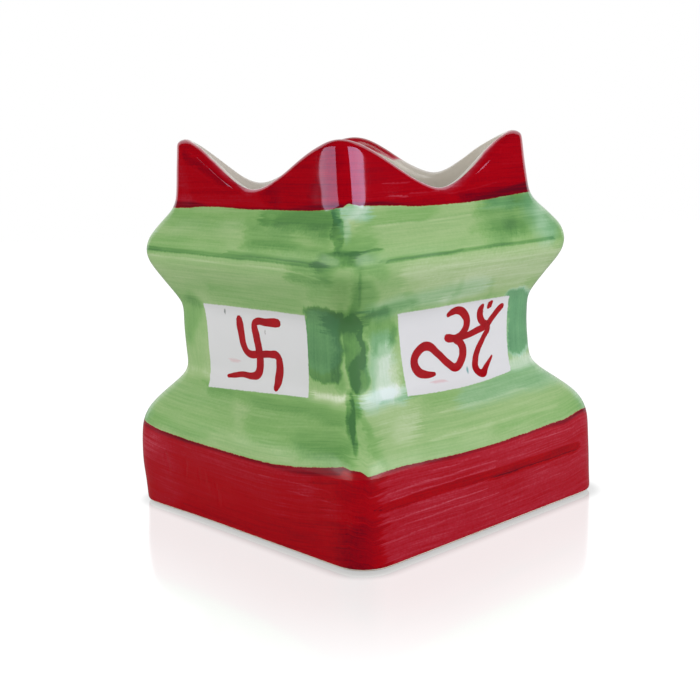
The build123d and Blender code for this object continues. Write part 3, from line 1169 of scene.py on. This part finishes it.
TEAL_AND_SHEEN_STROKES = [  # their load is how bluish the green is there
    ((80, 54), (80, 71), 14, 0.8, 3),
    # this stroke and the next paint the lamps' glint right of the front corner, where the paint is also thin
    ((14, 64), (13, 50), 11, 0.6, 5),
    ((7, 47.6), (20, 47.2), 5, 0.7, 3),
    ((76, 48), (90, 48), 4, 0.5, 3),
    # this one paints a faint sheen of a far lamp at the top of the right cornice
    ((86, 103), (94, 94), 10, 0.6, 8),
    ((66, 104), (76, 104), 4, 0.4, 3),
    ((12, 75), (60, 78), 6, 0.35, 4),
    # this stroke and the next paint the lamps' glints under the crown
    ((-3, 105.4), (-0.5, 101), 5, 0.4, 2),
    ((3, 105.5), (8, 104.5), 5, 0.7, 2),
    ((-112, 33), (-106, 42), 8, 0.6, 6),
    ((112, 33), (106, 42), 8, 0.7, 6),
    ((50, 43), (110, 43), 6, 0.45, 4),
    ((-112, 98), (-104, 98), 8, 0.6, 6),
    ((104, 98), (112, 98), 8, 0.5, 6),
    ((-12, 60), (-12, 72), 16, 0.4, 3),
]
DENTS = [  # a negative load is a hollow, and a positive one a ridge
    ((-97, 19), (-96, 15.5), 1.6, -15, 1.6),
    ((-86, 18.5), (-86.4, 16), 1.4, -13, 1.4),
    ((-79, 17), (-78.8, 15), 1.2, -11, 1.2),
    ((-70, 13.5), (-69, 10), 1.8, -15, 1.8),
    ((-74, 16), (-73.6, 13), 1.4, 11, 1.4),
    ((-10, 19), (-6, 16), 3.0, -14, 2.4),
]
print(len(GREEN_AND_GLINT_STROKES), "green strokes and", len(RED_AND_SHEEN_STROKES), "red ones")

# %% [markdown]
# A stroke is a long drop shape. Its edges wander a little and its ends are ragged, because bristles
# leave the clay one by one. Fine strokes were drawn with a steady hand, and broad ones swayed more.

# %% What one stroke leaves
LONGEST_TIP = 4.0  # how far a wide brush's mark runs on past the end of its stroke, in mm
FINE_SOFTNESS = 1.3  # strokes with softer edges than this are broad ones


def painted_by(stroke, hand):
    """The load that one stroke leaves at each place."""
    (start_way, start_z), (end_way, end_z), width, load, softness = stroke
    length = hypot(end_way - start_way, end_z - start_z)
    run, rise = (end_way - start_way) / length, (end_z - start_z) / length
    middle_way, middle_z = (start_way + end_way) / 2, (start_z + end_z) / 2
    spot = hand.fine if softness < FINE_SOFTNESS else hand.broad
    along = spot.dot((run, rise, -middle_way * run - middle_z * rise))
    across = spot.dot((-rise, run, middle_way * rise - middle_z * run))
    tip = min(2.0, 2 * LONGEST_TIP / width)
    past_end = abs(along) + hand.tugs[abs(rise) > abs(run)]
    past_end = past_end.maths("MULTIPLY_ADD", past_end, 1 / tip, -length / 2 / tip).larger(0)
    away = along.joined(past_end, across).length()
    return away.ease((width + softness) / 2, max(width - softness, 0) / 2, load)


def pigment(load, strokes, hand, reach):
    """The load of pigment with all strokes added that come within reach of these heights."""
    for stroke in strokes:
        heights = (stroke[0][1], stroke[1][1])
        spread = stroke[2] / 2 + LONGEST_TIP
        if max(heights) + spread > reach[0] and min(heights) - spread < reach[1]:
            load = load + painted_by(stroke, hand)
    return load


print("a stroke runs on by", LONGEST_TIP, "mm at most")

# %% [markdown]
# A brush never leaves an even tone. Its bristles draw streaks along the stroke, the water in the paint
# gathers in soft patches, and the clay has a fine grain. All of these are noise about 0. The streaks
# run along the drawn border on the plinth and the shoulder, level above the waist, and upright on it.

# %% The marks of the bristles
STREAK_LENGTH = 40  # how many times longer than wide a level streak is
UPRIGHT_LENGTH = 22
PATCH_WIDTH = 0.3  # a patch of water is drawn out less
FAR_SHIFT = 40  # takes the two far faces to another part of the noise
SWAY_SIZE = 16  # the hand sways up and down in waves of this size, and along in those of the next, in mm
SWELL_SIZE = 10
FINE_STRAY = (2, 1.4)  # how far a fine stroke strays along and up, and a broad one, in mm
BROAD_STRAY = (7, 4)
LEVEL_TUGS = (16, 8)  # how far streaks and bristles tug at the ends of a level stroke, and an upright one
UPRIGHT_TUGS = (3, 1.2)
PLINTH_LINE_LEVEL = 28  # the height about which the plinth's border wanders, in mm
FOLLOWS_LINE = (56, 31)  # the streaks follow the border ever more from one height down to the other
UPRIGHT_FROM_TO = (47.5, 73)


def brush_marks(start, place, way, z, far, plinth_line):
    """The noises of the brush at each place, and the two tones that they add up to."""
    bent = z - (plinth_line - PLINTH_LINE_LEVEL) * z.ease(*FOLLOWS_LINE)
    level = start.joined(way * (1 / STREAK_LENGTH), bent, far * FAR_SHIFT)
    upright = start.joined(way, z * (1 / UPRIGHT_LENGTH), far * FAR_SHIFT)
    in_waist = between(z, *UPRIGHT_FROM_TO, 2)
    marks = SimpleNamespace()
    marks.streaks = level.noise(1.5, detail=3, roughness=0.6) - 0.5
    marks.bristles = level.noise(0.5, detail=2, roughness=0.6) - 0.5
    marks.upright_streaks = upright.noise(2.2, detail=3, roughness=0.6) - 0.5
    marks.upright_bristles = upright.noise(0.6, detail=2, roughness=0.6) - 0.5
    patches = start.joined(way * PATCH_WIDTH, bent, far * FAR_SHIFT)
    marks.wash = patches.noise(9, detail=2) - 0.5
    marks.grain = place.noise(0.9, detail=2) - 0.5
    marks.all_streaks = in_waist.blended(marks.streaks, marks.upright_streaks)
    marks.all_bristles = in_waist.blended(marks.bristles, marks.upright_bristles)
    watery = marks.all_streaks * (0.26 - in_waist * 0.06) + marks.all_bristles * (0.24 - in_waist * 0.1)
    marks.watery = watery + marks.wash * 0.24 + marks.grain * 0.12
    dense = marks.all_streaks * 0.34 + marks.all_bristles * 0.44
    marks.dense = dense + marks.wash * 0.22 + marks.grain * 0.2
    return marks


def hands(start, place, way, z, marks):
    """How a steady hand and a usual one stray from a stroke, and how bristles tug at its ends."""
    sway = place.noise(SWAY_SIZE, detail=2) - 0.5
    swell = place.stretched(1, 1, 1.6).noise(SWELL_SIZE, detail=2) - 0.5
    grain = marks.grain
    along, up = FINE_STRAY
    fine = start.joined(way + swell * along + grain, z + sway * up + grain * 0.4, 1.0)
    along, up = BROAD_STRAY
    broad = start.joined(way + swell * along + grain * 2, z + sway * up + grain, 1.0)
    by_streaks, by_bristles = LEVEL_TUGS
    level_tugs = marks.streaks * by_streaks + marks.bristles * by_bristles
    by_streaks, by_bristles = UPRIGHT_TUGS
    upright_tugs = marks.upright_streaks * by_streaks + marks.upright_bristles * by_bristles
    tugs = (level_tugs, upright_tugs)
    steady = SimpleNamespace(fine=fine, broad=fine, tugs=tugs)
    return steady, SimpleNamespace(fine=fine, broad=broad, tugs=tugs)


print("streaks are", STREAK_LENGTH, "times longer than wide, and upright ones", UPRIGHT_LENGTH)

# %% [markdown]
# With these marks and the strokes, each colour is a load of pigment looked up in a row of tones. The
# red thins out on the curve of the lip, and some red and green splashed on the white panels.

# %% The three colours
GREEN_LOAD = 0.40  # of the ground coat, before any stroke
RED_LOAD = 0.66
LIP_THINNING = 0.42  # how much of the red's load is lost at its edge on the lip
EDGE_ON_TOP = 119  # at this height of the lip the red ends right on its top, in mm
EDGE_CLIMB = 0.16  # and higher up it reaches further in by this much for each mm
TONGUE_HALF = 24  # at the corner between the far faces the red runs in as a tongue of this half width
TONGUE_REACH = 5.5
TONGUE_TAPER = 0.12
PANEL_WHITE = (222, 222, 223)
SPLASHES = [  # (stroke, colour) of what fell on the panels
    (((-57.4, 54.3), (-56.0, 54.3), 1.2, 0.3, 1.0), (214, 120, 130)),
    (((36, 48.3), (41, 48.1), 0.9, 0.35, 0.8), (214, 120, 130)),
    (((52.5, 49.7), (52.5, 50.1), 0.8, 0.8, 0.5), (70, 150, 150)),
    (((-38.9, 65.5), (-38.9, 65.8), 0.4, 0.6, 0.3), (110, 100, 100)),
    (((-60.4, 70.4), (-60.4, 70.8), 0.6, 0.7, 0.4), (70, 80, 70)),
]


def over_the_lip(start, z, way, far, wander):
    """How far a point lies past the edge of the red paint on the lip, in mm."""
    past = start.node("Attribute", {"attribute_name": "over_lip"}, output=2)
    edge = (z - EDGE_ON_TOP) * EDGE_CLIMB
    tongue = far * between(way, -TONGUE_HALF, TONGUE_HALF, 8)
    edge = edge + tongue * (TONGUE_REACH - abs(way) * TONGUE_TAPER)
    return past - edge + wander


def thinned(load, past_lip):
    """The red's load, less towards its edge on the lip."""
    return load - past_lip.ease(-2.0, 0.4) * LIP_THINNING


def green_with_glints(marks, hand, reach):
    """The green, bluish and paler under the teal strokes, of which some are painted glints and sheen."""
    load = pigment(marks.watery + GREEN_LOAD, GREEN_AND_GLINT_STROKES, hand, reach)
    return pigment(marks.dense * 0.1, TEAL_AND_SHEEN_STROKES, hand, reach).mixed(load.ramp(GREENS), load.ramp(TEAL_AND_SHEEN_TONES))


def red_with_sheen(marks, hand, reach, past_lip):
    """The red of the plinth and the crown, with painted reflection and highlights in it."""
    return thinned(pigment(marks.dense + RED_LOAD, RED_AND_SHEEN_STROKES, hand, reach), past_lip).ramp(REDS)


def panel_white(steady, reach):
    """The white of the panels with what splashed on it."""
    colour = srgb(*PANEL_WHITE)
    for stroke, shade in SPLASHES:
        if reach[0] < stroke[0][1] < reach[1]:
            colour = painted_by(stroke, steady).mixed(colour, srgb(*shade))
    return colour


print(len(SPLASHES), "splashes on the white panels")

# %% [markdown]
# One paint scheme covers all the coats of the outside, so that a border may wander off the edge of
# the coat's piece. The glaze is glassy on the crown and a little less so lower down. The material is
# made four times, for four heights, because one shader holds only so many strokes.

# %% The painted and glazed surface
PAINTS = {  # name: (lowest and highest place that it is used at, index of refraction)
    "plinth_paint": (0, 32, 1.2),
    "waist_paint": (26, 76, 1.42),
    "cornice_paint": (72, 108, 1.42),
    "crown_paint": (103, 128, 1.6),
}
LOWER_ROUGHNESS = 0.26
CROWN_GLOSS = 0.19  # how much smoother the crown is
PANEL_GLOSS = 0.1
GLOSS_FROM_TO = (100, 104)  # the heights between which the crown's gloss begins, in mm
RELIEF_DEPTH = 0.05
RELIEF_STRENGTH = 0.2
CROWN_TINT = (0.72, 0.62, 1, 1)  # of what the crown's gloss reflects


def painted(name, reach, ior):
    """The glazed paint scheme of the outside, for a coat that reaches from one height to another."""
    material, shader, start = new_material(name)
    place, way, z, far = layout(start)
    plinth_line = follow(way, PLINTH_LINE, PLINTH_LINE_BASE)
    crown_line = follow(way, CROWN_LINE, CROWN_LINE_BASE)
    marks = brush_marks(start, place, way, z, far, plinth_line)
    steady, hand = hands(start, place, way, z, marks)
    green = green_with_glints(marks, hand, reach)
    past_lip = over_the_lip(start, z, way, far, marks.wash * 2 + marks.bristles)
    red = red_with_sheen(marks, hand, reach, past_lip)
    edge_grain = marks.grain * 0.5 + marks.bristles * 0.4
    below_crown = z - crown_line + edge_grain
    above_plinth = plinth_line - z + edge_grain
    in_crown, in_plinth = (depth.ease(-BORDER_BLUR, BORDER_BLUR) for depth in (below_crown, above_plinth))
    ragged_way, ragged_z = way + marks.grain * 0.5, z + marks.grain * 0.5
    left, right = (panel_open(ragged_way, ragged_z, edges) for edges in PANEL_EDGES)
    white = left.larger(right)
    colour = white.mixed(in_crown.larger(in_plinth).mixed(green, red), panel_white(steady, reach))
    overlap = overlap_at(way, below_crown, above_plinth)
    brown = overlap * (0.7 + marks.streaks * 1.2 + marks.bristles)
    feed(shader, "Base Color", brown.mixed(colour, srgb(*OVERLAP_BROWN)))
    roughness = LOWER_ROUGHNESS - z.ease(*GLOSS_FROM_TO) * CROWN_GLOSS - white * PANEL_GLOSS
    feed(shader, "Roughness", roughness + marks.all_bristles * 0.05)
    feed(shader, "IOR", ior)
    relief = pigment(marks.all_streaks * 0.5 + marks.all_bristles * 0.3, DENTS, steady, reach)
    feed_bump(shader, relief, RELIEF_STRENGTH, RELIEF_DEPTH)
    return material


finishes = {name: painted(name, (low, high), ior) for name, (low, high, ior) in PAINTS.items()}
crown_shader = finishes["crown_paint"].node_tree.nodes["Principled BSDF"]
feed(crown_shader, "Specular Tint", CROWN_TINT)
print({name: len(finish.node_tree.nodes) for name, finish in finishes.items()}, "nodes")

# %% [markdown]
# The signs, the inside and the bare foot are simpler. The signs' red is thicker and thinner along a
# stroke, the thin glaze inside is a cloudy cream, and the clay is rough and a little soiled.

# %% The other surfaces
SIGN_IOR = 1.35  # lower than a glaze's, because the red would pale under a stronger sheen
LINER_RED_LOAD = 0.46  # of the red that reaches over the lip


def sign_red():
    """The red of the signs, thicker and thinner along a stroke, under the clear glaze."""
    material, shader, start = new_material("sign_red")
    thick = place_in_mm(start).noise(3.5, detail=2)
    feed(shader, "Base Color", thick.mixed(srgb(180, 6, 22), srgb(140, 0, 12)))
    feed(shader, "Roughness", 0.16 + thick * 0.06)
    feed(shader, "IOR", SIGN_IOR)
    return material


def liner():
    """The thin off-white glaze of the inside, with the red that was brushed over the lip."""
    material, shader, start = new_material("liner_glaze")
    place, way, z, far = layout(start)
    clouded = place.noise(9, detail=3)
    cream = clouded.mixed(srgb(222, 216, 204), srgb(206, 198, 184))
    wander = (place.noise(7, detail=3) - 0.5) * 2
    past_lip = over_the_lip(start, z, way, far, wander)
    red = (thinned(LINER_RED_LOAD, past_lip) + (clouded - 0.5) * 0.2).ramp(REDS)
    feed(shader, "Base Color", past_lip.ease(-0.1, 0.9).mixed(red, cream))
    feed(shader, "Roughness", 0.12 + clouded * 0.1)
    return material


def bare_clay():
    """Fired white clay, wiped clean of glaze."""
    material, shader, start = new_material("bare_clay")
    place = place_in_mm(start)
    grain = place.noise(0.8, detail=4, roughness=0.7)
    soiled = place.noise(12, detail=3) * 0.7 + grain * 0.3
    feed(shader, "Base Color", soiled.mixed(srgb(232, 226, 212), srgb(206, 194, 172)))
    feed(shader, "Roughness", 0.7 + grain * 0.2)
    feed_bump(shader, grain, 0.4, 0.1)
    return material


finishes["liner"] = liner()
finishes["clay"] = bare_clay()
finishes["sign"] = sign_red()
print(len(finishes), "surfaces")

# %% [markdown]
# Each coat gets its surface. The body's coat gets two, since the waist and the cornice are painted by
# materials of their own. They meet under the cornice, where both hold the same strokes.

# %% Surfaces for the pieces
PAINT_SPLIT = 74  # the height at which the waist's paint hands over to the cornice's, in mm
PAINT_OF = {  # the panels have the waist's paint
    "plinth_glaze": "plinth_paint",
    "body_glaze": "waist_paint",
    "crown_glaze": "crown_paint",
    "liner_glaze": "liner",
}


def cover(piece, finish):
    """Gives the piece this surface and no other."""
    piece.data.materials.clear()
    piece.data.materials.append(finishes[finish])


for node, piece in coats.items():
    cover(piece, PAINT_OF.get(node, "waist_paint"))
upper = coats["body_glaze"].data
upper.materials.append(finishes["cornice_paint"])
for face in upper.polygons:
    face.material_index = int(face.center.z > PAINT_SPLIT * MM)
cover(clay, "clay")
for sign in signs:
    cover(sign, "sign")
print(len(bpy.data.materials), "materials")

# %% [markdown]
# The studio is a white table before a white backdrop, with a tall soft light on each side. The lights
# start a good way off the line of sight, so the round corners show a bright bar on each side of a dark
# gap.

# %% The two lights
LIGHTS = [  # (degrees from the camera's side, width, lowest, highest, brightness, colour)
    (-57.0, 1.10, 0.05, 0.55, 3.05, (1, 1, 1)),
    (56.5, 0.76, 0.05, 0.55, 4.6, (1, 0.985, 1.05)),
]
LIGHT_DISTANCE = 0.85

towards_camera = Vector((CAMERA_PLACE.x, CAMERA_PLACE.y, 0)).normalized()
for degrees, width, low, high, brightness, tint in LIGHTS:
    lamp = bpy.data.lights.new("side_light", "AREA")
    lamp.shape = "RECTANGLE"
    lamp.size = width
    lamp.size_y = high - low
    lamp.energy = brightness * pi * width * (high - low)
    lamp.color = tint
    light = bpy.data.objects.new("side_light", lamp)
    direction = Matrix.Rotation(radians(degrees), 3, "Z") @ towards_camera
    light.location = direction * LIGHT_DISTANCE + Vector((0, 0, (low + high) / 2))
    light.rotation_euler = (-direction).to_track_quat("-Z", "Y").to_euler()
    light.visible_camera = False
    bpy.context.scene.collection.objects.link(light)
print("studio lit by", len(LIGHTS), "lights")

# %% [markdown]
# The table glows white to the camera, as an overexposed one does, and is a plain matt grey to the light
# that it throws back on the pot. Close to the foot the glow is dimmer, which is the thin shade that a
# pot stands in, and a faint reflection of the pot is mixed in, which is gone a hand's width away.

# %% The table
FLOOR_SIZE = 6.0
FLOOR_DROP = 0.0002  # the table lies this far below the foot
FOOT_FLAT = 0.048  # half the straight part of a side of the foot
FOOT_CORNER = 0.0111  # how far the foot's outline lies beyond that, by its rounded corners
FOOT_GLOW = 0.72  # the glow at the foot, and what is added to it beyond the shade
OPEN_GLOW = 0.38
SHADE_WIDTH = 0.006
MATT_GREY = 0.45
GLOW_SHARE = 0.74  # the glow's share beside the reflection, and what is added to it further off
FAR_SHARE = 0.26
REFLECTION_FROM_TO = (0.01, 0.09)


def show(start, surface):
    """Makes this surface what the material shows."""
    output = next(node for node in start.tree.nodes if node.type == "OUTPUT_MATERIAL")
    start.tree.links.new(surface.out, output.inputs[0])


def beyond_foot(start):
    """How far a point of the table lies outside the foot, in metres."""
    x, y, _ = start.node("TexCoord", output=3).parts()
    beyond_flat = start.joined((abs(x) - FOOT_FLAT).larger(0), (abs(y) - FOOT_FLAT).larger(0))
    return beyond_flat.length() - FOOT_CORNER


deselect_all()
bpy.ops.mesh.primitive_plane_add(size=FLOOR_SIZE, location=(0, 0, -FLOOR_DROP))
studio_floor = bpy.context.object
studio_floor.name = "studio_floor"
material, shader, start = new_material("white_table")
feed(shader, "Base Color", (0.95, 0.95, 0.95, 1))
feed(shader, "Metallic", 1.0)
feed(shader, "Roughness", 0.12)
matte = start.node("BsdfDiffuse", inputs={"Color": (MATT_GREY, MATT_GREY, MATT_GREY, 1)})
seen = start.node("LightPath", output=0)
beyond = beyond_foot(start)
shade = beyond.ease(0.0, SHADE_WIDTH) * OPEN_GLOW + FOOT_GLOW
glow = start.node("Emission", inputs={0: start.joined(shade, shade, shade), 1: 1.0})
table = start.node("MixShader", inputs={0: seen, 1: matte, 2: Socket(start.tree, shader.outputs[0])})
share = seen * (GLOW_SHARE + beyond.ease(*REFLECTION_FROM_TO) * FAR_SHARE)
show(start, start.node("MixShader", inputs={0: share, 1: table, 2: glow}))
studio_floor.data.materials.append(material)
print("the table is", FLOOR_SIZE, "m wide")

# %% [markdown]
# The backdrop is a sheet of white paper behind the pot, square to the line of sight.

# %% The backdrop
BACKDROP_DISTANCE = 1.1
BACKDROP_WIDTH = 3.2
BACKDROP_HEIGHT = 2.0

deselect_all()
bpy.ops.mesh.primitive_plane_add(size=1, location=(0, 0, 0))
backdrop = bpy.context.object
backdrop.name = "white_backdrop"
backdrop.scale = (BACKDROP_WIDTH, BACKDROP_HEIGHT, 1)
backdrop.rotation_euler = towards_camera.to_track_quat("Z", "Y").to_euler()
backdrop.location = -towards_camera * BACKDROP_DISTANCE + Vector((0, 0, BACKDROP_HEIGHT / 2))
bpy.ops.object.transform_apply()
material, shader, start = new_material("white_paper")
show(start, start.node("Emission", inputs={0: (1, 1, 1, 1), 1: 1.0}))
backdrop.data.materials.append(material)
print("the backdrop hangs", BACKDROP_DISTANCE, "m behind the pot")

# %% [markdown]
# A dim, even light comes from all round, as from the walls of a room. The camera sees it as white, and
# gloss sees hardly any of it, so that the deep red isn't veiled by a grey sheen.

# %% The room
ROOM_LIGHT = 0.34  # the strength that lights the pot, what the camera sees more and gloss less
CAMERA_MORE = 0.66
GLOSS_LESS = 0.31

world = bpy.data.worlds.new("studio")
bpy.context.scene.world = world
world.use_nodes = True
air = Socket(world.node_tree)
to_camera = air.node("LightPath", output=0)
to_gloss = Socket(air.tree, to_camera.out.node.outputs["Is Glossy Ray"])
background = world.node_tree.nodes["Background"]
background.inputs["Color"].default_value = (1, 1, 1, 1)
feed(background, "Strength", ROOM_LIGHT + to_camera * CAMERA_MORE - to_gloss * GLOSS_LESS)
bpy.context.scene.view_settings.view_transform = "Standard"
print("the room's light has a strength of", ROOM_LIGHT)

# %% [markdown]
